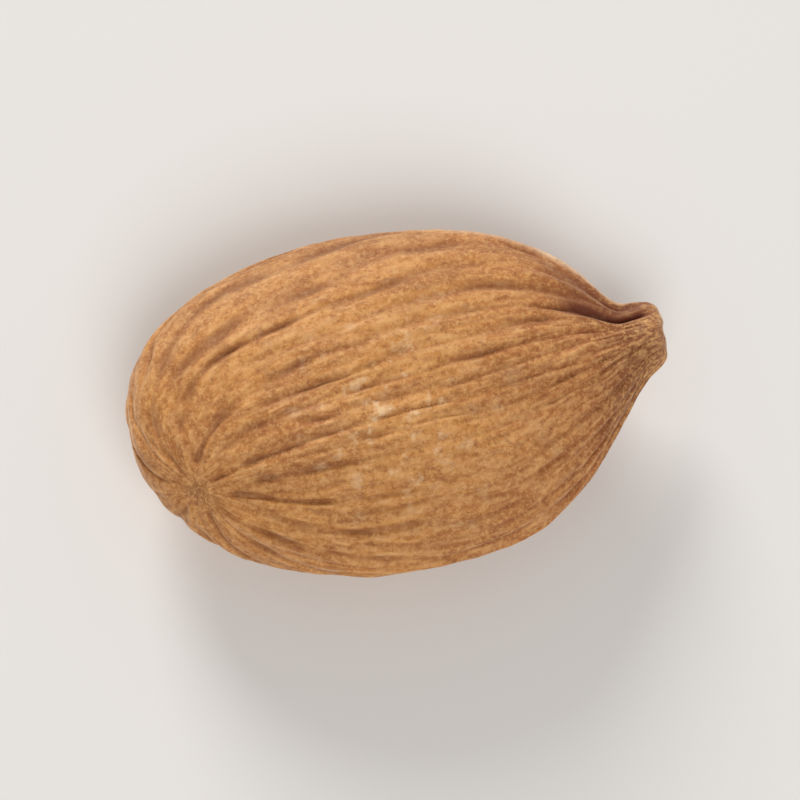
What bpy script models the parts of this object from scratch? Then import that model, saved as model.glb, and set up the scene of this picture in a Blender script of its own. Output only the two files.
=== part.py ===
"""A shelled almond kernel in its brown skin, lying on its flatter face.

Metres, +Z up. The pointed end is at +X, the blunt end at -X, and the fuller edge at -Y.
The origin is under the middle of the kernel's outline, on the surface that it rests on.
"""

import math
from typing import NamedTuple

import bmesh
import bpy
from mathutils import Matrix, Vector, noise

# Driving dimensions of the kernel.
LENGTH = 0.0260
WIDTH = 0.0163
THICKNESS = 0.0090

# Places along the kernel, as shares of its length from the blunt end.
WIDEST_AT = 0.48
THICKEST_AT = 0.44
STRAIGHTER_EDGE_ENDS_AT = 0.95
FULLER_EDGE_ENDS_AT = 1.0
FACES_END_AT = 1.0

# How full the blunt half is, with 2 for an ellipse, and how full the pointed half is.
STRAIGHTER_EDGE_ROUNDNESS = 2.0
FULLER_EDGE_ROUNDNESS = 2.3
FACE_ROUNDNESS = 2.0
EDGE_FULLNESS = 2.8
FACE_FULLNESS = 1.95

# How the middle line bows to -Y, and bends back to +Y at the beak.
BOW = 0.0006
TIP_BEND = 0.0009
TIP_BEND_FROM = 0.62

# The blunt beak at the pointed end, where the seedling's root lies under the skin. It thins
# out to its end like a wedge.
BEAK_WIDTH = 0.0035
BEAK_THICKNESS = 0.0025
BEAK_THINNING = 0.35
BEAK_ROOT_TO = 0.80
BEAK_ROUNDS_FROM = 0.945
BEAK_BLUNTNESS = 3.0
BEAK_BLEND = 5.0

# The cross-section: the upper face is the more domed, and both thin out to the rim.
UPPER_SHARE = 0.54
RIM_THINNING = 0.14

# The veins of the skin fan out from a scar on the blunt end and meet again at the beak.
# The scar lies on the fuller edge's side of the blunt end, above the rim.
SCAR_FROM_END = math.radians(40)
SCAR_ABOVE_RIM = math.radians(42)

# The skin laid out flat: how far it is round the kernel, and from the scar to the beak.
WAY_ROUND = 0.041
WAY_ALONG = 0.030

# Veins in the widest round, and how they wander: widely together, and a little one by one.
VEINS = 32
WANDER = 0.10
WANDER_ROUND = 2.4
WANDER_RUN = 0.0056
UNEVEN = 0.06
UNEVEN_RUN = 0.0032
STEADY_TO = 0.3

# The furrow that has sunk over each vein, and the low crown between two furrows.
FURROW_DEPTH = 0.00013
FURROW_HALF_WIDTH = 0.00019
CROWN_HEIGHT = 0.00005

# Every second furrow runs out where the fan is half as wide.
STAGGER = 0.45
STAGGER_RUN = 0.012
MOST_HALVINGS = 3.999
FORK_FROM = 0.2
FORK_TO = 0.8

# Furrows are broken into dashes: their usual depth, and how far and how soon it changes.
DASH_MEAN = 0.72
DASH_SWING = 1.3
DASH_LEAST = 0.15
DASH_MOST = 1.25
DASH_RUN = 0.0019

# Some furrows are strong over a long way and others faint.
STRENGTH_MEAN = 0.9
STRENGTH_SWING = 1.1
STRENGTH_LEAST = 0.35
STRENGTH_MOST = 1.25
STRENGTH_RUN = 0.009
STRENGTH_SHIFT = 40.0

# Short wrinkles between the furrows, that are drawn wider where the fan narrows.
WRINKLE_HEIGHT = 0.00006
WRINKLE_ACROSS = 0.00085
WRINKLE_RUN = 0.0032
WRINKLE_ROUNDING = 0.06
WRINKLE_MEAN = 0.4
WRINKLE_SHIFT = 31.0
WIDE_WRINKLES_SHIFT = 9.0
WIDE_WRINKLES_TO = 0.40
WIDE_WRINKLES_FROM = 0.75

# Widths of the fan over which furrows and wrinkles come up at its two ends.
BEAK_FADE = (0.15, 0.80)
SCAR_FADE = (0.03, 0.22)

# A patch on the upper face where the skin stayed smoother.
CALM_PATCH = Vector((0.0, -0.50, 0.87)).normalized()
CALM_REACH = 0.5
CALM_SHARE = 0.85
CALM_WRINKLES = 0.4

# The raised cord in the skin that runs just above the -Y rim from the beak to the scar.
CORD_HEIGHT = 0.00014
CORD_HALF_WIDTH = 0.04
CORD_TURN = math.radians(-172)
CORD_FADE_TO = 0.3

# The scar: a low round pad where the cord ends.
SCAR_HEIGHT = 0.00010
SCAR_RADIUS = 0.10

# Shallow swells that make the faces uneven.
SWELL_HEIGHT = 0.00030
SWELL_PITCH = 1.5
SWELL_SHIFT = Vector((3.1, 7.4, 1.9))

# The fold where the skin turns onto the beak, and the hollow between it and the rim.
FOLD_DEPTH = 0.00024
FOLD_TURN = math.radians(45)
FOLD_HALF_WIDTH = math.radians(6)
FOLD_COMES_UP = (0.0210, 0.0230)
FOLD_RUNS_OUT = (0.0276, 0.0261)
HOLLOW_DEPTH = 0.00012
HOLLOW_RIM_SIDE = (math.radians(4), math.radians(18))
HOLLOW_FOLD_SIDE = (math.radians(51), math.radians(39))

# The thin lip just above the +Y rim, and the groove along its inner side. Both come up and
# run out over shares of the kernel's length.
LIP_HEIGHT = 0.00009
LIP_TURN = math.radians(11)
LIP_HALF_WIDTH = math.radians(5.5)
LIP_COMES_UP = (0.45, 0.80)
LIP_RUNS_OUT = (0.97, 0.93)
GROOVE_DEPTH = 0.00006
GROOVE_TURN = math.radians(24)
GROOVE_HALF_WIDTH = math.radians(5)

# The flat spot underneath, as a height sliced off the lower face, and how soon relief
# comes up above it.
REST_DEPTH = 0.00015
REST_FADE = 0.00045

# The grid that the surface is made of: lines round the kernel and rings along it. Each vein
# is one of the lines. They are drawn a little from the rim to the faces, to lie evenly.
AROUND = 6 * VEINS
ALONG = 32
FACE_CROWDING = 0.16

SKIN_COLOUR = (0.497, 0.235, 0.095, 1.0)
SKIN_ROUGHNESS = 0.62

TINY = 1e-6


class SkinPlace(NamedTuple):
    """A place on the skin by its fan of veins, drawn on a unit ball with the scar at one pole.

    line is the turn of the grid's line through it, and turned is its own turn once the line
    has wandered. width is the fan's width, 0 at both ends and 1 midway. along is the way
    from the scar in metres, and ball is the place on the ball.
    """

    line: float
    turned: float
    width: float
    along: float
    ball: Vector


def clear_scene():
    for obj in list(bpy.data.objects):
        bpy.data.objects.remove(obj, do_unlink=True)


def clamped(value, low, high):
    return min(high, max(low, value))


def smooth_step(start, end, value):
    share = clamped((value - start) / (end - start), 0.0, 1.0)
    return share * share * (3 - 2 * share)


def bell(value, middle, half_width):
    return math.exp(-(((value - middle) / half_width) ** 2))


def perlin(place):
    return noise.noise(place, noise_basis="PERLIN_ORIGINAL")


def on_drum(turn, radius, height):
    """A place on a drum, where a pattern closes on itself after a full turn."""
    return Vector((radius * math.cos(turn), radius * math.sin(turn), height))


def body_profile(share, fullest_at, roundness, fullness, ends_at):
    """Half a side of the body without its beak: 0 at both ends and 1 where it is fullest."""
    if share < fullest_at:
        run = (fullest_at - share) / fullest_at
        return max(0.0, 1 - run**roundness) ** (1 / roundness)
    run = (share - fullest_at) / (ends_at - fullest_at)
    return max(0.0, 1 - run**fullness)


def beak_profile(share):
    """The beak's own half side, which starts inside the body and rounds off at its end."""
    root = smooth_step(WIDEST_AT, BEAK_ROOT_TO, share)
    run = max(0.0, (share - BEAK_ROUNDS_FROM) / (1 - BEAK_ROUNDS_FROM))
    return root * max(0.0, 1 - run**BEAK_BLUNTNESS) ** (1 / BEAK_BLUNTNESS)


def joined(body, beak):
    """The body flows into the beak with a soft hollow between them."""
    return (body**BEAK_BLEND + beak**BEAK_BLEND) ** (1 / BEAK_BLEND)


def half_width(share, straighter_edge):
    roundness = STRAIGHTER_EDGE_ROUNDNESS if straighter_edge else FULLER_EDGE_ROUNDNESS
    ends_at = STRAIGHTER_EDGE_ENDS_AT if straighter_edge else FULLER_EDGE_ENDS_AT
    body = WIDTH / 2 * body_profile(share, WIDEST_AT, roundness, EDGE_FULLNESS, ends_at)
    return joined(body, BEAK_WIDTH / 2 * beak_profile(share))


def half_thickness(share):
    side = body_profile(share, THICKEST_AT, FACE_ROUNDNESS, FACE_FULLNESS, FACES_END_AT)
    thinning = BEAK_THINNING * clamped((share - BEAK_ROOT_TO) / (1 - BEAK_ROOT_TO), 0.0, 1.0)
    return joined(THICKNESS / 2 * side, BEAK_THICKNESS / 2 * (1 - thinning) * beak_profile(share))


def middle_line(share):
    """How far the middle of the width lies to +Y: a slight bow, then a bend at the beak."""
    bend = smooth_step(TIP_BEND_FROM, 1.0, share)
    return TIP_BEND * bend - BOW * math.sin(math.pi * share)


def length_share(direction):
    """How far along the kernel a direction from the middle of a unit ball lands."""
    reach = WIDEST_AT if direction.x < 0 else 1 - WIDEST_AT
    return WIDEST_AT + reach * direction.x


def smooth_point(direction):
    """Where a direction from the middle of a unit ball lands on the kernel without relief."""
    share = length_share(direction)
    turn = math.atan2(direction.z, direction.y)
    turn += FACE_CROWDING * math.sin(2 * turn)
    face = 2 * (UPPER_SHARE if turn > 0 else 1 - UPPER_SHARE)
    thinning = 1 - RIM_THINNING * math.cos(turn) ** 2
    across = middle_line(share) + half_width(share, math.cos(turn) > 0) * math.cos(turn)
    above = half_thickness(share) * face * thinning * math.sin(turn)
    return Vector((share * LENGTH, across, above))


def drawn_to_scar(ball):
    """Moves the ball's blunt pole to the scar and leaves its beak pole in place.

    Seen from the beak the ball opens out on a plane, where its meridians are straight lines
    from the middle. The whole plane slides until they all start at the scar.
    """
    ahead = 1 - ball.x
    if ahead < TINY:
        return Vector((1, 0, 0))
    reach = math.tan(SCAR_FROM_END / 2)
    across = ball.y / ahead - reach * math.cos(SCAR_ABOVE_RIM)
    above = ball.z / ahead + reach * math.sin(SCAR_ABOVE_RIM)
    square = across * across + above * above
    return Vector((square - 1, 2 * across, 2 * above)) / (square + 1)


def skin_place(point):
    """The skin's place for a point of the even grid, whose lines wander but never cross."""
    line = math.atan2(point.z, point.y)
    width = math.hypot(point.y, point.z)
    along = WAY_ALONG / math.pi * math.acos(clamped(-point.x, -1.0, 1.0))
    wander = WANDER * perlin(on_drum(line, WANDER_ROUND, along / WANDER_RUN))
    wander += UNEVEN * perlin(on_drum(line, VEINS / (2 * math.pi), along / UNEVEN_RUN))
    turned = line + wander * smooth_step(0.0, STEADY_TO, width)
    ball = Vector((point.x, width * math.cos(turned), width * math.sin(turned)))
    return SkinPlace(line, turned, width, along, ball)


def furrow(place, count):
    """1 at the bottom of a furrow, falling to 0 beside it, with count furrows in the round."""
    apart = 2 * math.pi / count
    aside = place.line - round(place.line / apart) * apart
    return bell(aside * place.width * WAY_ROUND / (2 * math.pi), 0.0, FURROW_HALF_WIDTH)


def crown(place, count):
    """1 midway between two furrows and 0 in them."""
    return (1 - math.cos(place.line * count)) / 2


def dash(place):
    """How deep a furrow is at this place along it, as a share of its usual depth."""
    swing = perlin(on_drum(place.line, VEINS / (2 * math.pi), place.along / DASH_RUN))
    return clamped(DASH_MEAN + DASH_SWING * swing, DASH_LEAST, DASH_MOST)


def strength(place):
    """How strong the vein is for a long way round this place, with 1 for usual."""
    height = place.along / STRENGTH_RUN + STRENGTH_SHIFT
    swing = perlin(on_drum(place.line, VEINS / (2 * math.pi), height))
    return clamped(STRENGTH_MEAN + STRENGTH_SWING * swing, STRENGTH_LEAST, STRENGTH_MOST)


def vein_relief(place):
    """Furrows over the veins, half as many of them where the fan is half as wide."""
    drum = on_drum(place.line, VEINS / (4 * math.pi), place.along / STAGGER_RUN)
    halvings = STAGGER * perlin(drum) - math.log2(max(place.width, TINY))
    halvings = clamped(halvings, 0.0, MOST_HALVINGS)
    level = int(halvings)
    fork = smooth_step(FORK_FROM, FORK_TO, halvings - level)
    many = VEINS / 2**level
    few = many / 2
    sunk = furrow(place, many) * (1 - fork) + furrow(place, few) * fork
    raised = crown(place, many) * (1 - fork) + crown(place, few) * fork
    return CROWN_HEIGHT * (raised - 0.5) - FURROW_DEPTH * sunk * dash(place) * strength(place)


def wrinkle_relief(place):
    """Short wrinkles with narrow valleys, where a noise crosses zero."""
    radius = WAY_ROUND / WRINKLE_ACROSS / (2 * math.pi)
    height = place.along / WRINKLE_RUN + WRINKLE_SHIFT
    fine = perlin(on_drum(place.turned, radius, height))
    wide = perlin(on_drum(place.turned, radius / 2, height + WIDE_WRINKLES_SHIFT))
    narrowing = smooth_step(WIDE_WRINKLES_FROM, WIDE_WRINKLES_TO, place.width)
    crest = fine + (wide - fine) * narrowing
    ridge = 2 * (math.hypot(crest, WRINKLE_ROUNDING) - WRINKLE_ROUNDING)
    return WRINKLE_HEIGHT * (ridge - WRINKLE_MEAN)


def calmness(place):
    """1 in the middle of the calm patch, falling to 0 beyond it."""
    return bell((place.ball - CALM_PATCH).length, 0.0, CALM_REACH)


def fan_relief(place):
    """Furrows and wrinkles, which run out before the scar and before the beak's end."""
    fade = BEAK_FADE if place.ball.x > 0 else SCAR_FADE
    calm = CALM_SHARE * calmness(place)
    veins = vein_relief(place) * (1 - calm)
    wrinkles = wrinkle_relief(place) * (1 - CALM_WRINKLES * calm)
    return (veins + wrinkles) * smooth_step(*fade, place.width)


def cord_relief(place):
    """The cord follows the fan's line that lies nearest to the -Y rim, up to the scar."""
    turn = place.line - CORD_TURN
    if math.cos(turn) < 0:
        return 0.0
    height = CORD_HEIGHT * smooth_step(0.0, CORD_FADE_TO, place.width)
    return height * bell(place.width * math.sin(turn), 0.0, CORD_HALF_WIDTH)


def scar_relief(place):
    if place.ball.x > 0:
        return 0.0
    return SCAR_HEIGHT * bell(place.width, 0.0, SCAR_RADIUS)


def swell_relief(place):
    return SWELL_HEIGHT * perlin(place.ball * SWELL_PITCH + SWELL_SHIFT)


def fold_relief(place):
    """A crease that runs onto the beak, with a hollow between it and the +Y rim."""
    beside_beak = smooth_step(*FOLD_COMES_UP, place.along) * smooth_step(*FOLD_RUNS_OUT, place.along)
    fold = bell(place.turned, FOLD_TURN, FOLD_HALF_WIDTH)
    hollow = smooth_step(*HOLLOW_RIM_SIDE, place.turned) * smooth_step(*HOLLOW_FOLD_SIDE, place.turned)
    return -(FOLD_DEPTH * fold + HOLLOW_DEPTH * hollow) * beside_beak


def lip_relief(place):
    """The lip belongs to the rim and not to the fan, so the turn round the kernel places it."""
    direction = drawn_to_scar(place.ball)
    share = length_share(direction)
    turn = math.atan2(direction.z, direction.y)
    beside_rim = smooth_step(*LIP_COMES_UP, share) * smooth_step(*LIP_RUNS_OUT, share)
    lip = LIP_HEIGHT * bell(turn, LIP_TURN, LIP_HALF_WIDTH)
    groove = GROOVE_DEPTH * bell(turn, GROOVE_TURN, GROOVE_HALF_WIDTH)
    return (lip - groove) * beside_rim


def relief(place):
    """Height of the skin over the smooth form."""
    raised = cord_relief(place) + scar_relief(place) + lip_relief(place)
    return raised + swell_relief(place) + fold_relief(place) + fan_relief(place)


def build_kernel():
    """A ball drawn out to the kernel's form, whose points then move along their normals."""
    shape = bmesh.new()
    bmesh.ops.create_uvsphere(shape, u_segments=AROUND, v_segments=ALONG, radius=1.0)
    bmesh.ops.rotate(shape, verts=shape.verts, matrix=Matrix.Rotation(math.pi / 2, 3, "Y"))
    places = [skin_place(vertex.co.normalized()) for vertex in shape.verts]
    for vertex, place in zip(shape.verts, places):
        vertex.co = smooth_point(drawn_to_scar(place.ball))
    shape.normal_update()
    lowest = min(vertex.co.z for vertex in shape.verts)
    for vertex, place in zip(shape.verts, places):
        above_cut = vertex.co.z - lowest - REST_DEPTH / 2
        vertex.co += vertex.normal * relief(place) * smooth_step(0.0, REST_FADE, above_cut)
    slice_rest_spot(shape, lowest + REST_DEPTH)
    place_on_origin(shape)
    mesh = bpy.data.meshes.new("almond")
    shape.to_mesh(mesh)
    shape.free()
    return mesh


def slice_rest_spot(shape, height):
    """Slices the lower face flat where the kernel lies, and closes the cut with one face."""
    cut = bmesh.ops.bisect_plane(
        shape,
        geom=shape.verts[:] + shape.edges[:] + shape.faces[:],
        dist=TINY,
        plane_co=(0, 0, height),
        plane_no=(0, 0, -1),
        clear_outer=True,
    )
    edge = [item for item in cut["geom_cut"] if isinstance(item, bmesh.types.BMEdge)]
    for item in edge:
        for vertex in item.verts:
            vertex.co.z = height
    bmesh.ops.contextual_create(shape, geom=edge)
    bmesh.ops.recalc_face_normals(shape, faces=shape.faces)


def place_on_origin(shape):
    """Centres the outline on the origin and stands the flat spot on z = 0."""
    xs = [vertex.co.x for vertex in shape.verts]
    ys = [vertex.co.y for vertex in shape.verts]
    bottom = min(vertex.co.z for vertex in shape.verts)
    middle = Vector(((min(xs) + max(xs)) / 2, (min(ys) + max(ys)) / 2, bottom))
    bmesh.ops.translate(shape, verts=shape.verts, vec=-middle)


def skin_material():
    material = bpy.data.materials.new("almond_skin")
    material.use_nodes = True
    shader = material.node_tree.nodes["Principled BSDF"]
    shader.inputs["Base Color"].default_value = SKIN_COLOUR
    shader.inputs["Roughness"].default_value = SKIN_ROUGHNESS
    shader.inputs["Metallic"].default_value = 0.0
    return material


def main():
    clear_scene()
    part = bpy.data.collections.new("almond_kernel")
    bpy.context.scene.collection.children.link(part)
    almond = bpy.data.objects.new("almond", build_kernel())
    almond.data.shade_smooth()
    almond.data.materials.append(skin_material())
    part.objects.link(almond)


main()
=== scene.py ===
# %% [markdown]
# # One shelled almond
#
# A shelled almond is a seed. Two thick seed leaves fill it, and a thin brown skin is shrunk
# tight round them. The skin dried on the seed, so it wrinkled, and the wrinkles follow the
# veins that once fed it.
#
# The measured solid is loaded first. It gives the kernel's true size and place, and it stays
# fixed: this lesson only builds the surface that is seen. Points are in metres. The beak
# points to +X, the fuller edge lies at -Y, and the kernel rests on z = 0.

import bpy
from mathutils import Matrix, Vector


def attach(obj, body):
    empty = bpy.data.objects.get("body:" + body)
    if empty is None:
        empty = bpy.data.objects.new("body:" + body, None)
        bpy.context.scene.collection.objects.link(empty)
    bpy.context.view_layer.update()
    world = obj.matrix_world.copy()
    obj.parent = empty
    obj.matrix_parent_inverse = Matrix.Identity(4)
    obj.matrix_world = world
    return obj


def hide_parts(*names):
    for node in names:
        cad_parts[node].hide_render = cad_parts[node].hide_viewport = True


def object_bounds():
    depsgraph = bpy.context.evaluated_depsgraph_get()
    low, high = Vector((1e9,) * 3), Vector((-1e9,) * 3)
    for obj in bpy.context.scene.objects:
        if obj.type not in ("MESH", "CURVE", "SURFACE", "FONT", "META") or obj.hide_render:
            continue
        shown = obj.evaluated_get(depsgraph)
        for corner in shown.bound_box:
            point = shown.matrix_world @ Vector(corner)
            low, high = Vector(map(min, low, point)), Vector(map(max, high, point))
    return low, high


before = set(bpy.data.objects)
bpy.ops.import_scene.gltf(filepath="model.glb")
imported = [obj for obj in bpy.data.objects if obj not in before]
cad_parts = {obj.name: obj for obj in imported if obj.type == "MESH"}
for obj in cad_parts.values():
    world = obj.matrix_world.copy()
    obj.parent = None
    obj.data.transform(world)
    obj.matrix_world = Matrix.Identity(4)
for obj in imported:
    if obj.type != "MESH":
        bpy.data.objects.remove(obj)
measured_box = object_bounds()
MM = 0.001
low, high = measured_box
print("kernel in mm:", [round((b - a) / MM, 2) for a, b in zip(low, high)])

# %% [markdown]
# ## The form under the wrinkles
#
# A kernel could be sculpted by hand, or a coarse cage could be smoothed by subdivision. Both
# leave a shape that nobody can measure. A formula is better here: a ball is drawn out until
# its length, width and thickness are the kernel's, and each number says one thing about the
# seed, such as where it is widest or how full its pointed half is.
#
# Half a side of the body is a quarter of an ellipse at the blunt end, or a little fuller, and
# a fuller curve towards the beak. The two edges differ, as they do on most kernels: one is
# straighter, and runs out before the beak.

# %% The body's outline
import math

import bmesh
import bpy
import numpy as np
from mathutils import Matrix, Vector, noise

LENGTH = 26.0 * MM
WIDTH = 16.3 * MM
THICKNESS = 9.0 * MM
WIDEST_AT = 0.48
THICKEST_AT = 0.44
STRAIGHTER_EDGE = {"roundness": 2.0, "ends_at": 0.95}
FULLER_EDGE = {"roundness": 2.3, "ends_at": 1.0}
FACE = {"roundness": 2.0, "ends_at": 1.0}
EDGE_FULLNESS = 2.8
FACE_FULLNESS = 1.95
TINY = 1e-6


def smooth_step(start, end, value):
    share = np.clip((value - start) / (end - start), 0, 1)
    return share * share * (3 - 2 * share)


def body_profile(share, fullest_at, fullness, roundness, ends_at):
    """Half a side of the body: 0 at both ends and 1 where it is fullest."""
    blunt = np.clip((fullest_at - share) / fullest_at, 0, 1)
    pointed = np.clip((share - fullest_at) / (ends_at - fullest_at), 0, 1)
    blunt_side = (1 - blunt**roundness) ** (1 / roundness)
    return np.where(share < fullest_at, blunt_side, 1 - pointed**fullness)


stations = np.array([0.1, WIDEST_AT, 0.8])
for name, edge in [("straighter", STRAIGHTER_EDGE), ("fuller", FULLER_EDGE)]:
    side = WIDTH / 2 / MM * body_profile(stations, WIDEST_AT, EDGE_FULLNESS, **edge)
    print(name, "edge's half widths in mm:", side.round(2))

# %% [markdown]
# ## The beak
#
# The seedling's root lies under the skin at the pointed end and makes a short blunt beak. It
# has a profile of its own here, and a power mean joins the two profiles. That gives the soft
# hollow between body and beak without any modelling by hand. The beak stays about as wide to
# its end, but thins out like a wedge, as it does on most kernels.

# %% The beak and how it joins the body
BEAK_WIDTH = 3.5 * MM
BEAK_THICKNESS = 2.5 * MM
BEAK_THINNING = 0.35
BEAK_ROOT_TO = 0.80
BEAK_ROUNDS_FROM = 0.945
BEAK_BLUNTNESS = 3.0
BEAK_BLEND = 5.0


def with_beak(share, body, beak_size):
    root = smooth_step(WIDEST_AT, BEAK_ROOT_TO, share)
    run = np.clip((share - BEAK_ROUNDS_FROM) / (1 - BEAK_ROUNDS_FROM), 0, 1)
    beak = beak_size / 2 * root * (1 - run**BEAK_BLUNTNESS) ** (1 / BEAK_BLUNTNESS)
    return (body**BEAK_BLEND + beak**BEAK_BLEND) ** (1 / BEAK_BLEND)


def half_width(share, edge):
    body = WIDTH / 2 * body_profile(share, WIDEST_AT, EDGE_FULLNESS, **edge)
    return with_beak(share, body, BEAK_WIDTH)


def half_thickness(share):
    body = THICKNESS / 2 * body_profile(share, THICKEST_AT, FACE_FULLNESS, **FACE)
    thinning = BEAK_THINNING * np.clip((share - BEAK_ROOT_TO) / (1 - BEAK_ROOT_TO), 0, 1)
    return with_beak(share, body, BEAK_THICKNESS * (1 - thinning))


near_end = 0.97
end_width = half_width(near_end, STRAIGHTER_EDGE) + half_width(near_end, FULLER_EDGE)
print("width near the beak's end in mm:", round(float(end_width) / MM, 2))

# %% [markdown]
# ## From a ball to the kernel
#
# Each direction from the middle of a ball lands on one place of the kernel. How far it lies
# along the seed picks the width and the thickness there, and its turn picks the place round
# the section. The turns crowd a little towards the middle of each face, where the relief
# shows most. The upper face is the more domed one, both faces thin out to the rim, and the
# middle line bows a little and bends at the beak, because no seed is straight.

# %% Draw the ball out
BOW = 0.6 * MM
TIP_BEND = 0.9 * MM
TIP_BEND_FROM = 0.62
UPPER_SHARE = 0.54
RIM_THINNING = 0.14
FACE_CROWDING = 0.16


def length_share(direction):
    reach = np.where(direction[:, 0] < 0, WIDEST_AT, 1 - WIDEST_AT)
    return WIDEST_AT + reach * direction[:, 0]


def smooth_points(direction):
    share = length_share(direction)
    turn = np.arctan2(direction[:, 2], direction[:, 1])
    turn = turn + FACE_CROWDING * np.sin(2 * turn)
    middle = TIP_BEND * smooth_step(TIP_BEND_FROM, 1.0, share) - BOW * np.sin(math.pi * share)
    side = np.where(np.cos(turn) > 0, half_width(share, STRAIGHTER_EDGE), half_width(share, FULLER_EDGE))
    face = 2 * np.where(turn > 0, UPPER_SHARE, 1 - UPPER_SHARE)
    thinning = 1 - RIM_THINNING * np.cos(turn) ** 2
    above = half_thickness(share) * face * thinning * np.sin(turn)
    return np.column_stack([share * LENGTH, middle + side * np.cos(turn), above])


crown_top = smooth_points(np.array([[0.0, 0.0, 1.0]]))[0]
print("top of the upper face in mm:", (crown_top / MM).round(2))

# %% [markdown]
# ## The fan of veins
#
# The veins of the skin start together at a scar on the blunt end, spread over the whole seed
# and meet again at the beak. A texture laid on in straight lines would miss this. Here the
# ball's own lines from pole to pole do the work: one pole stays at the beak and the other
# slides to the scar. Seen from the beak the ball opens out on a plane, where its lines are
# straight rays, so the slide is a plain shift of that plane.
#
# The mesh then runs along the veins, and narrow furrows come out clean with few faces.

# %% Slide the blunt pole to the scar
SCAR_FROM_END = math.radians(40)
SCAR_ABOVE_RIM = math.radians(42)


def drawn_to_scar(fan):
    ahead = np.maximum(1 - fan[:, 0], TINY)
    reach = math.tan(SCAR_FROM_END / 2)
    across = fan[:, 1] / ahead - reach * math.cos(SCAR_ABOVE_RIM)
    above = fan[:, 2] / ahead + reach * math.sin(SCAR_ABOVE_RIM)
    square = across**2 + above**2
    moved = np.column_stack([square - 1, 2 * across, 2 * above]) / (square + 1)[:, None]
    moved[ahead <= TINY] = (1, 0, 0)
    return moved


scar_point = smooth_points(drawn_to_scar(np.array([[-1.0, 0.0, 0.0]])))[0]
print("scar in mm from the blunt end:", (scar_point / MM).round(2))

# %% [markdown]
# ## The even grid
#
# The skin is one closed mesh, a ball of lines and rings. Thirty-two veins go round it, about
# 1.3 mm apart where the seed is widest, as counted across its broad face. Each vein is one of
# the lines, and thirteen more lie between it and the next. The rings are a little wider
# apart, because the skin changes less along the veins than across them.

# %% A ball of lines and rings
VEINS = 32
LINES_PER_VEIN = 14
LINES = LINES_PER_VEIN * VEINS
RINGS = 222
WAY_ROUND_MM = 41.0
WAY_ALONG_MM = 30.0
drum_mm = WAY_ROUND_MM / (2 * math.pi)

ball = bmesh.new()
bmesh.ops.create_uvsphere(ball, u_segments=LINES, v_segments=RINGS, radius=1.0)
bmesh.ops.rotate(ball, verts=ball.verts, matrix=Matrix.Rotation(math.pi / 2, 3, "Y"))
kernel = bpy.data.meshes.new("almond_skin_mesh")
ball.to_mesh(kernel)
ball.free()
print("lines are", round(WAY_ROUND_MM / LINES, 3), "mm apart and rings", round(WAY_ALONG_MM / RINGS, 3), "mm")

# %% [markdown]
# ## Lines that wander
#
# A grid of straight rays would look ruled. Soft noise turns each line a little aside, more
# slowly than the lines are apart, so that none of them cross. The noise is read on a drum
# whose turn is the place round the fan, which leaves no seam where the turn closes.

# %% Turn the lines aside
WANDER, WANDER_ROUND, WANDER_RUN_MM = 0.10, 2.4, 5.6
UNEVEN, UNEVEN_RUN_MM = 0.055, 3.2
STEADY_TO = 0.3
vein_drum = VEINS / (2 * math.pi)


def read_points(mesh, field="co"):
    source = mesh.vertices if field == "co" else mesh.vertex_normals
    flat = np.empty(len(source) * 3)
    source.foreach_get(field, flat)
    return flat.reshape(-1, 3)


def write_points(mesh, points):
    mesh.vertices.foreach_set("co", points.astype(np.float32).ravel())
    mesh.update()


def perlin(places):
    return np.array([noise.noise(place) for place in places.tolist()])


def on_drum(angle, radius, height):
    return np.column_stack([radius * np.cos(angle), radius * np.sin(angle), height])


grid = read_points(kernel)
grid /= np.linalg.norm(grid, axis=1)[:, None]
line = np.arctan2(grid[:, 2], grid[:, 1])
fan_width = np.hypot(grid[:, 1], grid[:, 2])
along_mm = WAY_ALONG_MM / math.pi * np.arccos(np.clip(-grid[:, 0], -1, 1))
wander = WANDER * perlin(on_drum(line, WANDER_ROUND, along_mm / WANDER_RUN_MM))
wander += UNEVEN * perlin(on_drum(line, vein_drum, along_mm / UNEVEN_RUN_MM))
turned = line + wander * smooth_step(0.0, STEADY_TO, fan_width)
fan = np.column_stack([grid[:, 0], fan_width * np.cos(turned), fan_width * np.sin(turned)])
place_on_ball = drawn_to_scar(fan)
smooth = smooth_points(place_on_ball)
write_points(kernel, smooth)
print("points:", len(smooth), "and the most wander in degrees:", np.degrees(abs(wander).max()).round(1))

# %% [markdown]
# ## Furrows over the veins
#
# Over each vein the skin sinks into a narrow furrow, and between two furrows it stays full.
# The distance to the nearest vein gives that profile. Where the fan is half as wide, every
# second furrow runs out, so those that are left keep their spacing of about a millimetre:
# the same thing makes real veins fork as they spread. Slow noise moves the forks, so they
# don't stand in a row, and the halving stops just short of four, when two furrows are left.

# %% One furrow for each vein
FURROW_HALF_WIDTH_MM = 0.19
STAGGER, STAGGER_RUN_MM = 0.45, 12.0
MOST_HALVINGS = 3.999
FORK_FROM, FORK_TO = 0.2, 0.8


def furrows(count):
    """1 at the bottom of a furrow, falling to 0 beside it."""
    apart = 2 * math.pi / count
    aside = (line - np.round(line / apart) * apart) * fan_width * drum_mm
    return np.exp(-((aside / FURROW_HALF_WIDTH_MM) ** 2))


def crowns(count):
    """1 midway between two furrows and 0 in them."""
    return (1 - np.cos(line * count)) / 2


stagger = STAGGER * perlin(on_drum(line, vein_drum / 2, along_mm / STAGGER_RUN_MM))
halvings = np.clip(stagger - np.log2(np.maximum(fan_width, TINY)), 0, MOST_HALVINGS)
level = np.floor(halvings)
fork = smooth_step(FORK_FROM, FORK_TO, halvings - level)
many, few = VEINS / 2**level, VEINS / 2 ** (level + 1)
sunk = furrows(many) * (1 - fork) + furrows(few) * fork
crown = crowns(many) * (1 - fork) + crowns(few) * fork
print("share of the skin in a furrow:", (sunk > 0.4).mean().round(3))

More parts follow.
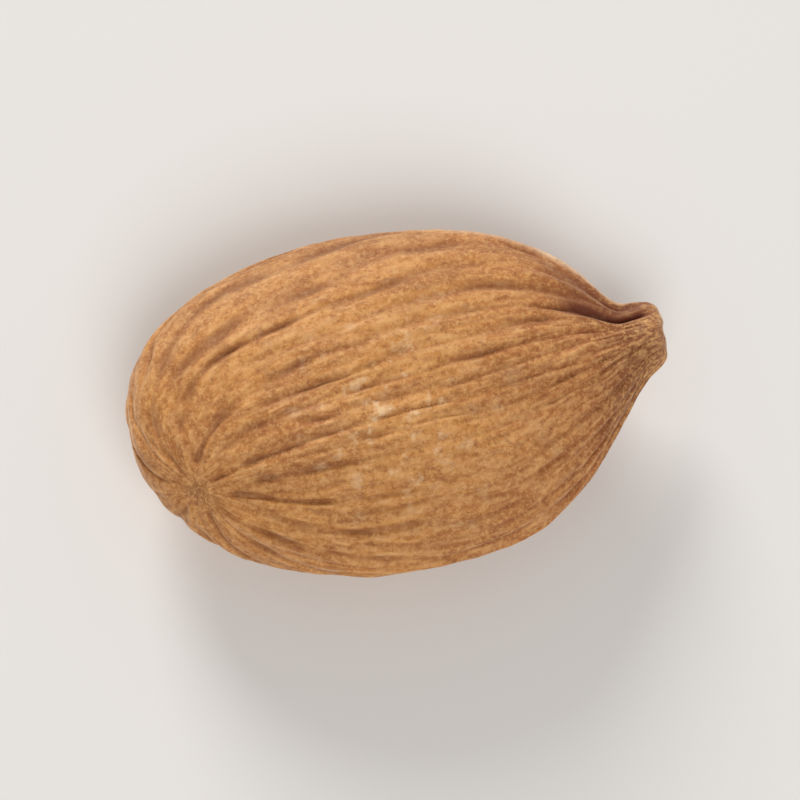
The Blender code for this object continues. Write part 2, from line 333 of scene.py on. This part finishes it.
# %% [markdown]
# ## Furrows broken into dashes
#
# No furrow is equally deep all along, because the skin shrank more in some places than in
# others. Noise that changes every two millimetres along a vein breaks its furrow into dashes,
# and slower noise makes some veins strong and others faint.

# %% Break the furrows
DASH_RUN_MM = 1.9
DASH_MEAN, DASH_SWING = 0.72, 1.3
DASH_LEAST, DASH_MOST = 0.15, 1.25
STRENGTH_RUN_MM, STRENGTH_SHIFT = 9.0, 40.0
STRENGTH_MEAN, STRENGTH_SWING = 0.9, 1.1
STRENGTH_LEAST, STRENGTH_MOST = 0.35, 1.25

dash = DASH_MEAN + DASH_SWING * perlin(on_drum(line, vein_drum, along_mm / DASH_RUN_MM))
drum = on_drum(line, vein_drum, along_mm / STRENGTH_RUN_MM + STRENGTH_SHIFT)
strength = np.clip(STRENGTH_MEAN + STRENGTH_SWING * perlin(drum), STRENGTH_LEAST, STRENGTH_MOST)
vein = sunk * np.clip(dash, DASH_LEAST, DASH_MOST) * strength
print("share of the skin in a deep dash:", (vein > 0.7).mean().round(3))

# %% [markdown]
# ## Short wrinkles and fine creases
#
# Between the furrows the dry skin has puckered: short wrinkles about 0.8 mm apart that lean
# along the grain, and creases half as wide over them. Noise that crosses zero has just that
# shape once its sign is dropped, because each crossing becomes a narrow valley. Where the fan
# narrows, noise of half the pitch takes over, or the wrinkles would crowd.

# %% Wrinkles from noise
WRINKLE_ACROSS_MM, WRINKLE_RUN_MM, WRINKLE_SHIFT = 0.85, 3.2, 31.0
CREASE_ACROSS_MM, CREASE_RUN_MM, CREASE_SHIFT = 0.42, 1.3, 57.0
VALLEY_ROUNDING = 0.06
WIDE_SHIFT, WIDE_TO, WIDE_FROM = 9.0, 0.40, 0.75


def puckers(across_mm, run_mm, shift):
    """0 at the bottom of a valley and about 1 on the ridges between."""
    radius = drum_mm / across_mm
    height = along_mm / run_mm + shift
    fine = perlin(on_drum(turned, radius, height))
    wide = perlin(on_drum(turned, radius / 2, height + WIDE_SHIFT))
    crest = fine + (wide - fine) * smooth_step(WIDE_FROM, WIDE_TO, fan_width)
    return 2 * (np.hypot(crest, VALLEY_ROUNDING) - VALLEY_ROUNDING)


wrinkle = puckers(WRINKLE_ACROSS_MM, WRINKLE_RUN_MM, WRINKLE_SHIFT)
crease = puckers(CREASE_ACROSS_MM, CREASE_RUN_MM, CREASE_SHIFT)
print("mean height of the wrinkles:", wrinkle.mean().round(2), "and creases:", crease.mean().round(2))

# %% [markdown]
# ## Dimples
#
# Seen close, the skin is also pitted like dry leather. Two sizes of plain noise do that, and
# they know nothing of the fan, so they soften its order.

# %% Pits of a millimetre and of half a millimetre
DIMPLE_MM, PIT_MM, PIT_SHIFT, PIT_SHARE = 1.1, 0.55, 20.0, 0.5

pit = perlin(smooth / (PIT_MM * MM) + PIT_SHIFT)
dimple = perlin(smooth / (DIMPLE_MM * MM)) + PIT_SHARE * pit
print("dimples swing from", dimple.min().round(2), "to", dimple.max().round(2))

# %% [markdown]
# ## The cord and its scar
#
# One strand fed the young seed. It still shows as a low cord just above the fuller edge, and
# it ends at the scar, a low round pad on the blunt end from which all the veins set out. The
# cord is one line of the fan, so its height is a bell curve round that line.

# %% Raise the cord and the scar
CORD_TURN = math.radians(-172)
CORD_HALF_WIDTH = 0.04
CORD_FADE_TO = 0.3
SCAR_RADIUS = 0.10

past_cord = line - CORD_TURN
cord = np.exp(-((fan_width * np.sin(past_cord) / CORD_HALF_WIDTH) ** 2))
cord *= smooth_step(0.0, CORD_FADE_TO, fan_width) * (np.cos(past_cord) > 0)
scar = np.exp(-((fan_width / SCAR_RADIUS) ** 2)) * (fan[:, 0] < 0)
print("points on the cord:", int((cord > 0.5).sum()), "and on the scar:", int((scar > 0.5).sum()))

# %% [markdown]
# ## Swells and a calm patch
#
# Broad swells keep the two faces from looking turned on a lathe. One patch of the upper face
# is smoother than the rest, as if it had lain tight against the shell while it dried. The
# furrows also run out before the scar and before the beak's end.

# %% Where the relief is low
SWELL_PITCH, SWELL_SHIFT = 1.5, np.array([3.1, 7.4, 1.9])
CALM_PATCH = np.array(Vector((0.0, -0.50, 0.87)).normalized())
CALM_REACH = 0.5
CALM_SHARE = 0.85
CALM_WRINKLES = 0.4
BEAK_FADE, SCAR_FADE = (0.15, 0.80), (0.03, 0.22)

swell = perlin(fan * SWELL_PITCH + SWELL_SHIFT)
calm = CALM_SHARE * np.exp(-((np.linalg.norm(fan - CALM_PATCH, axis=1) / CALM_REACH) ** 2))
ends = np.where(fan[:, 0] > 0, smooth_step(*BEAK_FADE, fan_width), smooth_step(*SCAR_FADE, fan_width))
print("calm patch covers this share of the skin:", (calm > 0.5).mean().round(3))

# %% [markdown]
# ## The fold beside the beak
#
# Where the skin turns onto the beak it has folded: a short crease runs to the beak's end, and
# the skin between it and the rim has sunk in a shallow hollow. Both follow the fan's lines,
# so two angles and a stretch of the way along place them.

# %% Fold and hollow
FOLD_TURN, FOLD_HALF_WIDTH = math.radians(45), math.radians(6)
HOLLOW_RIM_SIDE = math.radians(4), math.radians(18)
HOLLOW_FOLD_SIDE = math.radians(51), math.radians(39)
FOLD_COMES_UP_MM, FOLD_RUNS_OUT_MM = (21.0, 23.0), (27.6, 26.1)

beside_beak = smooth_step(*FOLD_COMES_UP_MM, along_mm) * smooth_step(*FOLD_RUNS_OUT_MM, along_mm)
fold = np.exp(-(((turned - FOLD_TURN) / FOLD_HALF_WIDTH) ** 2)) * beside_beak
hollow = smooth_step(*HOLLOW_RIM_SIDE, turned) * smooth_step(*HOLLOW_FOLD_SIDE, turned) * beside_beak
print("points in the fold:", int((fold > 0.5).sum()))

# %% [markdown]
# ## The lip along the straighter edge
#
# The two seed leaves meet at the rim, and there the skin stands up in a thin rounded lip. It
# shows best along the straighter edge from the middle of the seed to the beak, with a thin
# groove along its inner side. Both are placed by the turn round the seed, not by the fan,
# because they belong to the seed leaves. A bell curve alone would look drawn with a ruler, so
# noise makes the lip higher here and lower there.

# %% Raise the lip
LIP_TURN, LIP_HALF_WIDTH = math.radians(11), math.radians(5.5)
GROOVE_TURN, GROOVE_HALF_WIDTH = math.radians(24), math.radians(5)
LIP_COMES_UP, LIP_RUNS_OUT = (0.45, 0.80), (0.97, 0.93)
LIP_UNEVEN, LIP_UNEVEN_MM, LIP_SHIFT = 0.6, 1.2, 90.0

round_seed = np.arctan2(place_on_ball[:, 2], place_on_ball[:, 1])
share = length_share(place_on_ball)
lip_length = smooth_step(*LIP_COMES_UP, share) * smooth_step(*LIP_RUNS_OUT, share)
lip = np.exp(-(((round_seed - LIP_TURN) / LIP_HALF_WIDTH) ** 2)) * lip_length
lip *= 1 + LIP_UNEVEN * perlin(smooth / (LIP_UNEVEN_MM * MM) + LIP_SHIFT)
groove = np.exp(-(((round_seed - GROOVE_TURN) / GROOVE_HALF_WIDTH) ** 2)) * lip_length
print("points on the lip:", int((lip > 0.5).sum()), "and in its groove:", int((groove > 0.5).sum()))

# %% [markdown]
# ## The end of the beak
#
# Seen from its end, the beak is not a clean cut. The root's tip has a tiny pore through which
# the seed takes up water, and the skin round it is rough. A pit and a little noise make
# both, placed by their distance from the very end.

# %% A pore in a rough end
PORE_RADIUS_MM = 0.3
ROUGH_REACH_MM, ROUGH_MM, ROUGH_SHIFT = 1.6, 0.6, 70.0

beak_tip = smooth_points(np.array([[1.0, 0.0, 0.0]]))
from_tip_mm = np.linalg.norm(smooth - beak_tip, axis=1) / MM
pore = np.exp(-((from_tip_mm / PORE_RADIUS_MM) ** 2))
near_tip = np.exp(-((from_tip_mm / ROUGH_REACH_MM) ** 2))
rough_end = perlin(smooth / (ROUGH_MM * MM) + ROUGH_SHIFT) * near_tip
print("points on the beak's end:", int((near_tip > 0.5).sum()))

# %% [markdown]
# ## Add the relief up
#
# Every layer so far is a bare shape that is about 1 where it is strongest. Here each gets its
# height or depth, in the range of real kernels: about a tenth of a millimetre for the
# furrows, the cord and the scar, twice that for the fold beside the beak, and a few
# hundredths for wrinkles, creases and dimples.

# %% Depths in millimetres
FURROW_DEPTH, CROWN_HEIGHT = 0.13, 0.05
WRINKLE_HEIGHT, CREASE_HEIGHT, PUCKER_MEAN, DIMPLE_HEIGHT = 0.06, 0.035, 0.4, 0.02
CORD_HEIGHT, SCAR_HEIGHT, SWELL_HEIGHT, LIP_HEIGHT = 0.14, 0.10, 0.30, 0.09
FOLD_DEPTH, HOLLOW_DEPTH, GROOVE_DEPTH = 0.24, 0.12, 0.06
ROUGH_END_HEIGHT, PORE_DEPTH = 0.09, 0.12
CROWN_MEAN = 0.5

veins_mm = (CROWN_HEIGHT * (crown - CROWN_MEAN) - FURROW_DEPTH * vein) * (1 - calm)
puckers_mm = WRINKLE_HEIGHT * (wrinkle - PUCKER_MEAN) + CREASE_HEIGHT * (crease - PUCKER_MEAN)
puckers_mm *= 1 - CALM_WRINKLES * calm
raised_mm = CORD_HEIGHT * cord + SCAR_HEIGHT * scar + SWELL_HEIGHT * swell + LIP_HEIGHT * lip
sunk_mm = FOLD_DEPTH * fold + HOLLOW_DEPTH * hollow + GROOVE_DEPTH * groove + PORE_DEPTH * pore
pitted_mm = DIMPLE_HEIGHT * dimple + ROUGH_END_HEIGHT * rough_end
relief_mm = (veins_mm + puckers_mm) * ends + pitted_mm + raised_mm - sunk_mm
print("relief in mm from", relief_mm.min().round(2), "to", relief_mm.max().round(2))

# %% [markdown]
# ## Move the points
#
# Each point moves along the smooth form's own normal by the relief. A kernel lies on its
# flatter face, so the lowest points are pressed to one level, and the relief fades out just
# above it. The whole skin is then set over the middle of the measured kernel.

# %% Lay the relief on and press the underside flat
REST_DEPTH = 0.15 * MM
REST_FADE = 0.45 * MM

normals = read_points(kernel, "vector")
floor_level = smooth[:, 2].min() + REST_DEPTH
above_cut = smooth[:, 2] - floor_level + REST_DEPTH / 2
skin = smooth + normals * (relief_mm * MM * smooth_step(0.0, REST_FADE, above_cut))[:, None]
skin[:, 2] = np.maximum(skin[:, 2], floor_level)

middle = (np.array(low) + np.array(high)) / 2
box_middle = (skin.min(axis=0) + skin.max(axis=0)) / 2
skin[:, :2] += (middle - box_middle)[:2]
skin[:, 2] -= floor_level
write_points(kernel, skin)
print("skin in mm:", ((skin.max(axis=0) - skin.min(axis=0)) / MM).round(2))

# %% [markdown]
# ## The skin stands in for the solid
#
# The mesh becomes an object. It rides on the kernel's one body, is shown in place of the
# plain solid and takes the slot that the record calls skin. Smooth shading suits it, since
# the real skin has no sharp edge anywhere.

# %% Make the object
almond = bpy.data.objects.new("almond_skin", kernel)
bpy.context.scene.collection.objects.link(almond)
kernel.shade_smooth()
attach(almond, "root")
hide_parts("almond")
print("triangles:", 2 * LINES * (RINGS - 1))

# %% [markdown]
# ## What the material needs to know
#
# The colour of the skin follows its relief: furrows hold the dark veins, and their darkness is
# partly painted shade; ridges are rubbed pale. So the mesh keeps, at each point, how deep in a
# furrow it lies, how far along the seed it is, and its place on the fan in millimetres. A
# pattern that is stretched along the last one runs with the wrinkles.
#
# Valleys that cross the veins, the hollow, the groove and the pore are darkened too, but less
# than the furrows: painted shade in those recesses. Round the calm patch the darkening is
# weaker, so that side of the upper face is paler.

# %% Keep the relief as attributes
def keep(name, values):
    kind, field = ("FLOAT_VECTOR", "vector") if values.ndim == 2 else ("FLOAT", "value")
    attribute = kernel.attributes.new(name, kind, "POINT")
    attribute.data.foreach_set(field, values.astype(np.float32).ravel())


CROSSING_SHADE, HOLLOW_SHADE, GROOVE_SHADE, PORE_SHADE = 0.35, 0.55, 0.5, 0.9
CROSSING_DEEPENS = 0.35, 0.0
RIDGE_RISES, RIDGE_GIVES_WAY = (0.1, 0.9), (0.5, 0.1)
PALE_REACH, PALE_SHARE = 0.95, 0.6

from_calm = np.linalg.norm(fan - CALM_PATCH, axis=1)
pale_side = PALE_SHARE * np.exp(-((from_calm / PALE_REACH) ** 2))
# The valley mask drives darkening that is partly the veins' own colour and partly painted shade in the
# furrows, crossing valleys, groove and pore.
valley = vein * (1 - calm) + CROSSING_SHADE * smooth_step(*CROSSING_DEEPENS, wrinkle)
valley *= ends * (1 - pale_side)
valley = np.maximum.reduce([valley, GROOVE_SHADE * groove, PORE_SHADE * pore])
keep("valley", np.clip(valley, 0, 1))
keep("ridge", smooth_step(*RIDGE_RISES, crease) * smooth_step(*RIDGE_GIVES_WAY, valley))
keep("length_share", share)
keep("scar", scar)
keep("lip", lip)
# The fold and the hollow beside the beak are kept for painted shade.
keep("fold", np.clip(fold + HOLLOW_SHADE * hollow, 0, 1))
keep("fan_mm", on_drum(turned, drum_mm, along_mm))
print("share of the skin in valleys:", (valley > 0.5).mean().round(3))

# %% [markdown]
# ## Where it was rubbed
#
# Sorting and packing rub a kernel, and the most domed part of the upper face is rubbed most.
# The mesh keeps only how much: a soft spot round the middle of that face, placed in
# millimetres from the blunt end of the smooth form. The material breaks it up into scuffs.

# %% The crown of the upper face
RUBBED_MIDDLE_MM = np.array([12.6, -2.0, 4.5])
RUBBED_REACH_MM = 4.0

from_middle = np.linalg.norm(smooth / MM - RUBBED_MIDDLE_MM, axis=1)
keep("rubbed", np.exp(-((from_middle / RUBBED_REACH_MM) ** 2)))
print("nearest point to the middle of the rubbed spot:", from_middle.min().round(2), "mm")

# %% [markdown]
# ## The testa
#
# The skin of a seed is called the testa. It is dead tissue as thin as paper: tannins turn it
# brown, and its outer cells are large and loose, so it is dusty and dull, like fine bran. The
# eye reads that as a soft surface with no clear highlight and a pale edge where it turns away.
#
# Colours are written as they look on a screen, and one function turns them into the linear
# values that a shader needs. One more adds a node with its settings and links.

# %% A material and two small functions
def hex_colour(text):
    parts = [int(text[i : i + 2], 16) / 255 for i in (0, 2, 4)]
    linear = [p / 12.92 if p <= 0.04045 else ((p + 0.055) / 1.055) ** 2.4 for p in parts]
    return (*linear, 1.0)


def add(tree, kind, inputs, gives=0, **settings):
    """Adds a node. Each input is a plain value or the output of another node."""
    made = tree.nodes.new("ShaderNode" + kind)
    for name, value in settings.items():
        setattr(made, name, value)
    for socket, value in inputs.items():
        if isinstance(value, bpy.types.NodeSocket):
            tree.links.new(value, made.inputs[socket])
        else:
            made.inputs[socket].default_value = value
    return made.outputs[gives]


testa = bpy.data.materials.new("testa")
testa.use_nodes = True
tree = testa.node_tree
shader = tree.nodes["Principled BSDF"]
kernel.materials.append(testa)
print("a middle grey in linear values:", [round(c, 3) for c in hex_colour("808080")])

# %% [markdown]
# ## Three spaces for the patterns
#
# Some of the skin's patterns are even in all directions, and are read in plain millimetres.
# Others lie along the veins: those are read on the fan's drum, eight times slower along it
# than across it, which draws each grain out into a streak. A third space is drawn out less,
# for spots that only lean along the veins.
#
# Both inputs of a multiplying node have one name, so they are picked by number.

# %% Millimetres in space, and millimetres along the fan
FIRST, SECOND = 0, 1
STREAK_SLOWED, LEANING_SLOWED = 0.12, 0.4

space = add(tree, "TexCoord", {}, "Object")
in_mm = add(tree, "VectorMath", {FIRST: space, SECOND: (1 / MM, 1 / MM, 1 / MM)}, operation="MULTIPLY")
fan_mm = add(tree, "Attribute", {}, "Vector", attribute_name="fan_mm")
along_grain = add(tree, "VectorMath", {FIRST: fan_mm, SECOND: (1, 1, STREAK_SLOWED)}, operation="MULTIPLY")
leaning = add(tree, "VectorMath", {FIRST: fan_mm, SECOND: (1, 1, LEANING_SLOWED)}, operation="MULTIPLY")
print("a streak is", round(1 / STREAK_SLOWED, 1), "times as long as it is wide")

# %% [markdown]
# ## Patterns in the colour
#
# Patches of several millimetres are where more tannin dried in. Mottles about 0.5 mm wide are
# single groups of cells, two or three times as long along the veins as across them. Streaks
# are the thin strands beside each vein. Grains of 0.3 mm are clumps of the loose outer cells:
# the high ones look dusty, and between them the skin is dark. Scurf is the finest, flat flakes
# of cells about 0.15 mm wide. Single cells are finer still, too fine to show, so grains and
# scurf stand for them. Scuffs are rubbed spots of about a millimetre. Each scale below is the
# number of such spots in a millimetre.
#
# A noise swings round a half. A range then says at which value a pattern starts to show, at
# which it shows fully, and how much of its colour it has there.

# %% Patches, mottles, streaks, grains and scurf
PATCHES_PER_MM, MOTTLES_PER_MM, STREAKS_PER_MM, GRAINS_PER_MM = 0.17, 2.2, 1.5, 3.4
SCURF_PER_MM, SCUFFS_PER_MM = 6.5, 1.1

patches = add(tree, "TexNoise", {"Vector": in_mm, "Scale": PATCHES_PER_MM, "Detail": 3, "Roughness": 0.55})
mottles = add(tree, "TexNoise", {"Vector": leaning, "Scale": MOTTLES_PER_MM, "Detail": 2, "Roughness": 0.5})
streak = {"Vector": along_grain, "Scale": STREAKS_PER_MM, "Detail": 4, "Roughness": 0.6}
streaks = add(tree, "TexNoise", streak)
grains = add(tree, "TexNoise", {"Vector": in_mm, "Scale": GRAINS_PER_MM, "Detail": 3, "Roughness": 0.7})
flakes = add(tree, "TexNoise", {"Vector": in_mm, "Scale": SCURF_PER_MM, "Detail": 2, "Roughness": 0.6})
scuffs = add(tree, "TexNoise", {"Vector": in_mm, "Scale": SCUFFS_PER_MM, "Detail": 5, "Roughness": 0.65})

patchy = add(tree, "MapRange", {"Value": patches, "From Min": 0.36, "From Max": 0.66})
mottle_dark = add(tree, "MapRange", {"Value": mottles, "From Min": 0.48, "From Max": 0.30, "To Max": 0.6})
mottle_pale = add(tree, "MapRange", {"Value": mottles, "From Min": 0.52, "From Max": 0.70, "To Max": 0.6})
scurfy = add(tree, "MapRange", {"Value": flakes, "From Min": 0.56, "From Max": 0.63, "To Max": 0.45})
scuffy = add(tree, "MapRange", {"Value": scuffs, "From Min": 0.56, "From Max": 0.66})
uneven = add(tree, "MapRange", {"Value": scuffs, "From Min": 0.38, "From Max": 0.58, "To Min": 0.5})
streaky = add(tree, "MapRange", {"Value": streaks, "From Min": 0.48, "From Max": 0.74, "To Max": 0.6})
dusty = add(tree, "MapRange", {"Value": grains, "From Min": 0.50, "From Max": 0.72, "To Max": 0.7})
pores = add(tree, "MapRange", {"Value": grains, "From Min": 0.46, "From Max": 0.28, "To Max": 0.65})
print("patterns from", round(1 / PATCHES_PER_MM, 1), "mm down to", round(1 / SCURF_PER_MM, 2), "mm")

# %% [markdown]
# ## Places in the colour
#
# The attributes turn the relief into colour. Furrows are darkened, partly by the veins' own
# colour and partly as painted shade. Ridges are rubbed pale here and there, and the lip is pale,
# partly rubbed and partly a painted highlight. The skin grows redder towards the beak, where the
# tannins gathered, and darker there, partly as painted shade. The fold and hollow beside the
# beak are darkest, which is painted shade in the crease, and the beak's end is paler.

# %% Shares from the mesh's attributes
def from_mesh(name, start=0.0, end=1.0, least=0.0, most=1.0):
    """Least where the attribute is at start, and most where it is at end."""
    value = add(tree, "Attribute", {}, "Fac", attribute_name=name)
    limits = {"From Min": start, "From Max": end, "To Min": least, "To Max": most}
    return add(tree, "MapRange", {"Value": value, **limits})


# Darkening in the valleys: partly the veins' colour, partly painted shade.
vein_stain_and_shade = from_mesh("valley", start=0.1, most=0.58)
worn = from_mesh("ridge", most=0.3)
# Redder towards the beak, and darker there partly as painted shade.
tipward_red_and_shade = from_mesh("length_share", start=0.60, end=0.84, most=0.65)
beak = from_mesh("length_share", start=0.84, end=0.93, most=0.95)
beak_end = from_mesh("length_share", start=0.97, end=0.995, most=0.6)
scarred = from_mesh("scar", most=0.5)
# Painted shade in the fold and the hollow beside the beak.
fold_and_hollow_shade = from_mesh("fold", most=0.95)
on_lip = from_mesh("lip", start=0.2, end=0.9, most=0.95)
# The lip's paleness is partly rubbed skin and partly a painted highlight.
rubbed_and_highlit_lip = add(tree, "Math", {FIRST: on_lip, SECOND: uneven}, operation="MULTIPLY")
rubbed = from_mesh("rubbed", least=0.08, most=0.7)
scuffed = add(tree, "Math", {FIRST: rubbed, SECOND: scuffy}, operation="MULTIPLY")
print("attributes in use:", len(kernel.attributes))

# %% [markdown]
# ## Lay the colours over each other
#
# The layers are mixed one over the other, from the broadest to the finest, as a painter would
# do it. Each row gives where a colour lies and the colour itself. The pale lip, partly rubbed
# and partly a painted highlight, lies under pores and dust, or it would look painted on. The
# dark valleys (vein colour and painted shade), the painted shade of the fold and hollow, and
# the scuffs come last, because no dust stays in a furrow or on a scuffed spot.
#
# The mix node has a socket of the same name for each kind of data, so the ones for colour are
# picked by number.

# %% From the ground colour to the scuffs
SHARE, UNDER, OVER, MIXED = 0, 6, 7, 2

colour = hex_colour("CC8A45")
for where, tone in [
    (patchy, "B57237"),
    # redder towards the beak, darker partly as painted shade
    (tipward_red_and_shade, "A0562C"),
    (beak, "763C1E"),
    (beak_end, "B98464"),
    (mottle_dark, "9C5E2B"),
    (mottle_pale, "E6AA6A"),
    (streaky, "A2612E"),
    (worn, "E8B478"),
    (scarred, "774A28"),
    # pale lip: rubbed skin and a painted highlight
    (rubbed_and_highlit_lip, "F4D0AE"),
    (pores, "864C28"),
    (scurfy, "E8AF6C"),
    (dusty, "E8AF6C"),
    # valleys: vein colour and painted shade
    (vein_stain_and_shade, "743A17"),
    # painted shade in the fold and hollow
    (fold_and_hollow_shade, "6A2C12"),
    (scuffed, "F4CEA0"),
]:
    colour = add(tree, "Mix", {SHARE: where, UNDER: colour, OVER: hex_colour(tone)}, MIXED, data_type="RGBA")
tree.links.new(colour, shader.inputs["Base Color"])
print("nodes in the testa:", len(tree.nodes))

# %% [markdown]
# ## Bump and finish
#
# The loose cells stand up by a few hundredths of a millimetre, and the flakes of scurf by
# less. Both are too fine for the mesh, so they are bump, from the same noises that colour
# them. Dry plant skin scatters nearly all its light: it is rough, and rougher in the pores
# than on the grains. Its index of refraction is that of plant fibre, 1.45. Sheen stands for
# the fuzz of loose cells that catches light from the side and pales the rim.

# %% Height, roughness and sheen
GRAIN_HEIGHT, SCURF_HEIGHT = 0.05 * MM, 0.015 * MM
PORE_ROUGHNESS, GRAIN_ROUGHNESS = 0.74, 0.58
FINISH = {"IOR": 1.45, "Sheen Weight": 0.55, "Sheen Roughness": 0.38, "Sheen Tint": hex_colour("FFE0C0")}

grainy = add(tree, "Bump", {"Strength": 1.0, "Distance": GRAIN_HEIGHT, "Height": grains})
bumpy = add(tree, "Bump", {"Strength": 1.0, "Distance": SCURF_HEIGHT, "Height": scurfy, "Normal": grainy})
limits = {"From Min": 0.3, "From Max": 0.7, "To Min": PORE_ROUGHNESS, "To Max": GRAIN_ROUGHNESS}
rough = add(tree, "MapRange", {"Value": grains, **limits})
tree.links.new(bumpy, shader.inputs["Normal"])
tree.links.new(rough, shader.inputs["Roughness"])
for socket, value in FINISH.items():
    shader.inputs[socket].default_value = value
print("grains stand", GRAIN_HEIGHT / MM, "mm high and scurf", SCURF_HEIGHT / MM, "mm")

# %% [markdown]
# ## The floor
#
# The kernel lies on a plain pale board that is dull enough to show no reflection. It is wide
# enough to fill the view from every side, and it is only a stage, not part of the almond.

# %% A matt pale board
FLOOR_HALF_SIZE = 1.5
BOARD_ROUGHNESS = 0.8

sheet = bmesh.new()
bmesh.ops.create_grid(sheet, x_segments=1, y_segments=1, size=FLOOR_HALF_SIZE)
board = bpy.data.meshes.new("floor_mesh")
sheet.to_mesh(board)
sheet.free()
floor = bpy.data.objects.new("floor", board)
bpy.context.scene.collection.objects.link(floor)

pale = bpy.data.materials.new("matt_pale_board")
pale.use_nodes = True
board_shader = pale.node_tree.nodes["Principled BSDF"]
board_shader.inputs["Base Color"].default_value = hex_colour("E9E6E2")
board_shader.inputs["Roughness"].default_value = BOARD_ROUGHNESS
board.materials.append(pale)
print("floor in metres:", [round(size, 2) for size in floor.dimensions])

# %% [markdown]
# ## The light
#
# A bright plain room fills every shadow. Two softboxes do the rest: a low one behind the
# kernel, like a window, grazes the furrows, so that each throws a soft shadow, and makes the
# lip shine. A larger one stands high in front and gives the body of the light. Both are
# disks, since a disk's shadow has no corners.

# %% A soft room and two softboxes
ROOM_STRENGTH = 0.36

world = bpy.data.worlds.new("soft_room")
bpy.context.scene.world = world
world.use_nodes = True
room = world.node_tree.nodes["Background"]
room.inputs["Color"].default_value = hex_colour("F4F2EF")
room.inputs["Strength"].default_value = ROOM_STRENGTH


def away_from(azimuth, elevation):
    """The direction from the kernel towards a place at these angles. Azimuth 0 is at -Y."""
    turn, rise = math.radians(azimuth), math.radians(elevation)
    return Vector((math.sin(turn) * math.cos(rise), -math.cos(turn) * math.cos(rise), math.sin(rise)))


def softbox(name, azimuth, elevation, distance, size, watts):
    lamp = bpy.data.lights.new(name, "AREA")
    lamp.shape = "DISK"
    lamp.size = size
    lamp.energy = watts
    box = bpy.data.objects.new(name, lamp)
    away = away_from(azimuth, elevation)
    box.location = away * distance
    box.rotation_euler = away.to_track_quat("Z", "Y").to_euler()
    bpy.context.scene.collection.objects.link(box)
    return box


low_window = softbox("low_window", azimuth=190, elevation=24, distance=0.6, size=0.25, watts=2.6)
high_front = softbox("high_front", azimuth=5, elevation=54, distance=0.8, size=0.6, watts=3.2)
print("softboxes stand", [round(box.location.z, 2) for box in (low_window, high_front)], "m high")

# %% [markdown]
# ## The camera
#
# The camera looks down steeply at the upper face with a long lens from afar, as the reference
# view does, so the kernel shows almost no perspective. The view is as wide as one and a half
# kernels.

# %% A long lens looking down
CAMERA_AZIMUTH = -8.6
CAMERA_ELEVATION = 78.8
FIELD = 38 * MM
LENS_MM = 300
CLIP_NEAR, CLIP_FAR = 0.01, 10

lens = bpy.data.cameras.new("camera")
lens.lens = LENS_MM
lens.clip_start = CLIP_NEAR
lens.clip_end = CLIP_FAR
eye = bpy.data.objects.new("camera", lens)
bpy.context.scene.collection.objects.link(eye)
away = away_from(CAMERA_AZIMUTH, CAMERA_ELEVATION)
eye.location = Vector(middle) + away * (FIELD * LENS_MM / lens.sensor_width)
eye.rotation_euler = away.to_track_quat("Z", "Y").to_euler()
bpy.context.scene.camera = eye
bpy.context.scene.view_settings.view_transform = "Standard"
print("camera is", round(eye.location.length, 3), "m away")
